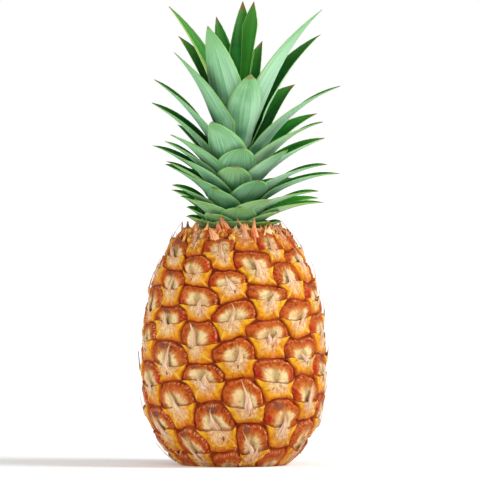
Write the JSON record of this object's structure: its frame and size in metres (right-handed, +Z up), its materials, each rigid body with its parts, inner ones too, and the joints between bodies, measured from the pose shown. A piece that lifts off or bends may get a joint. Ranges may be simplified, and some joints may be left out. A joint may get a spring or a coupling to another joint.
{
  "type": "pineapple",
  "caption": "Whole ripe pineapple with an oval golden fruit of hexagonal fruitlets and a spiky green crown, standing on its flat base.",
  "frame": {"origin": "centre of the fruit's flat base, where the cut stalk ends, with the surface that it rests on at z = 0", "axes": "+Z up along the fruit's axis from the base to the crown; the front faces -Y and +X is to the right of the front"},
  "size_m": [0.1186, 0.111, 0.275],
  "materials": {
    "fruit_skin": null,
    "leaf": null,
    "stalk": "dry fibrous cut end"
  },
  "bodies": {
    "root": {"fruit_body": "fruit_skin", "stalk_stub": "stalk", "crown_stem": "stalk", "leaf_01": "leaf", "leaf_02": "leaf", "leaf_03": "leaf", "leaf_04": "leaf", "leaf_05": "leaf", "leaf_06": "leaf", "leaf_07": "leaf", "leaf_08": "leaf", "leaf_09": "leaf", "leaf_10": "leaf", "leaf_11": "leaf", "leaf_12": "leaf", "leaf_13": "leaf", "leaf_14": "leaf", "leaf_15": "leaf", "leaf_16": "leaf", "leaf_17": "leaf", "leaf_18": "leaf", "leaf_19": "leaf", "leaf_20": "leaf", "leaf_21": "leaf", "leaf_22": "leaf", "leaf_23": "leaf", "leaf_24": "leaf", "leaf_25": "leaf", "leaf_26": "leaf", "leaf_27": "leaf", "leaf_28": "leaf", "leaf_29": "leaf", "leaf_30": "leaf", "leaf_31": "leaf", "leaf_32": "leaf", "leaf_33": "leaf", "leaf_34": "leaf", "leaf_35": "leaf", "leaf_36": "leaf", "leaf_37": "leaf", "leaf_38": "leaf", "leaf_39": "leaf", "leaf_40": "leaf", "leaf_41": "leaf", "leaf_42": "leaf", "leaf_43": "leaf", "leaf_44": "leaf", "leaf_45": "leaf", "leaf_46": "leaf", "leaf_47": "leaf", "leaf_48": "leaf", "leaf_49": "leaf", "leaf_50": "leaf", "leaf_51": "leaf", "leaf_52": "leaf", "leaf_53": "leaf", "leaf_54": "leaf", "leaf_55": "leaf", "leaf_56": "leaf", "leaf_57": "leaf"}
  },
  "joints": []
}
